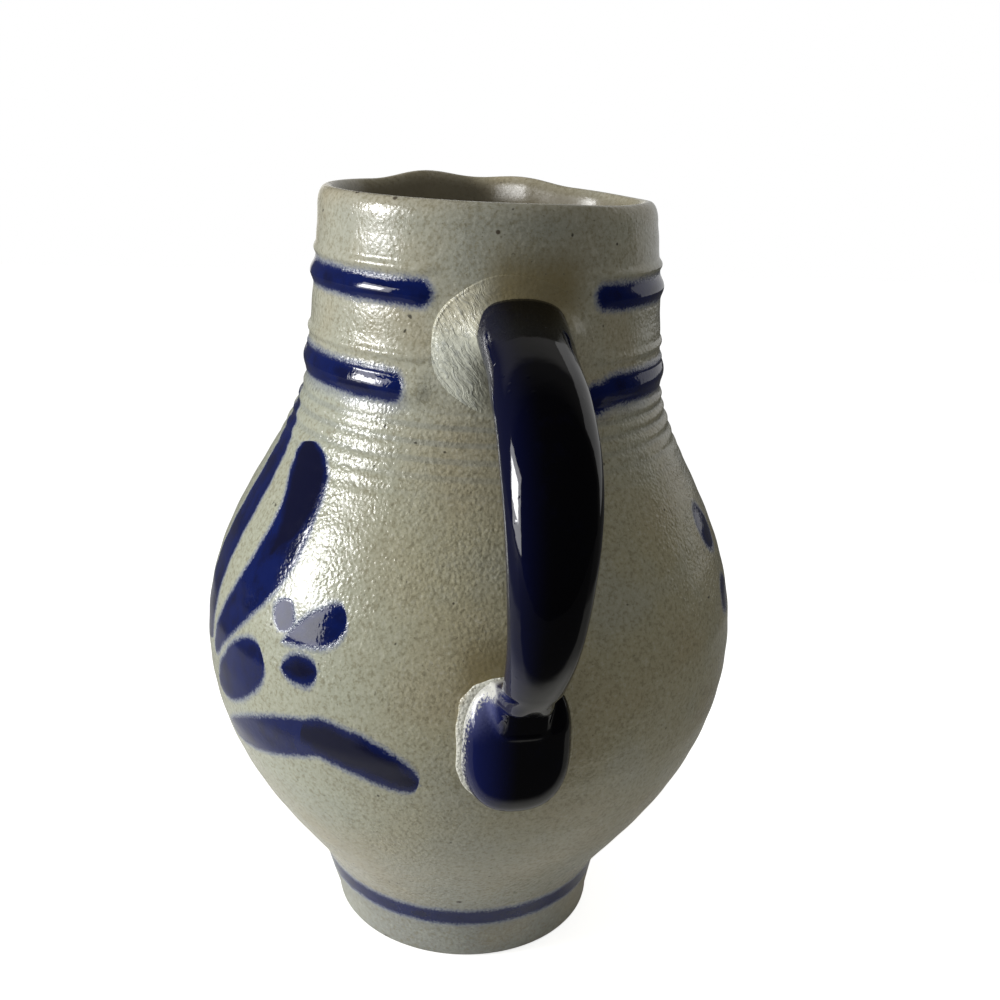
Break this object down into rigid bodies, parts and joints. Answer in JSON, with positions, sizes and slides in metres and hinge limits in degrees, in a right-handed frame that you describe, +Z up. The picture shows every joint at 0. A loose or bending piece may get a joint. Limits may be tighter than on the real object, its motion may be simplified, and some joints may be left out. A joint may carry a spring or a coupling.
{
  "type": "stoneware pitcher",
  "caption": "Round-bellied salt-glazed stoneware pitcher with a ribbed neck, a small pulled spout and a strap handle luted to the neck and belly.",
  "frame": {"origin": "centre of the foot's flat resting face", "axes": "+Z up through the mouth, handle towards -Y, spout towards +Y"},
  "size_m": [0.1292, 0.1494, 0.185],
  "materials": {
    "salt_glazed_stoneware": "salt glaze: glossy over a fine orange-peel texture, dark specks, cobalt-blue brushwork and bands",
    "cobalt_glazed_handle": "very glossy blue-black glaze",
    "luting_slip": "glossy pale slip with finger smears"
  },
  "bodies": {
    "root": {"thrown_body": "salt_glazed_stoneware", "handle_strap": "cobalt_glazed_handle", "root_luting": "luting_slip", "tail_luting": "luting_slip"}
  },
  "joints": []
}
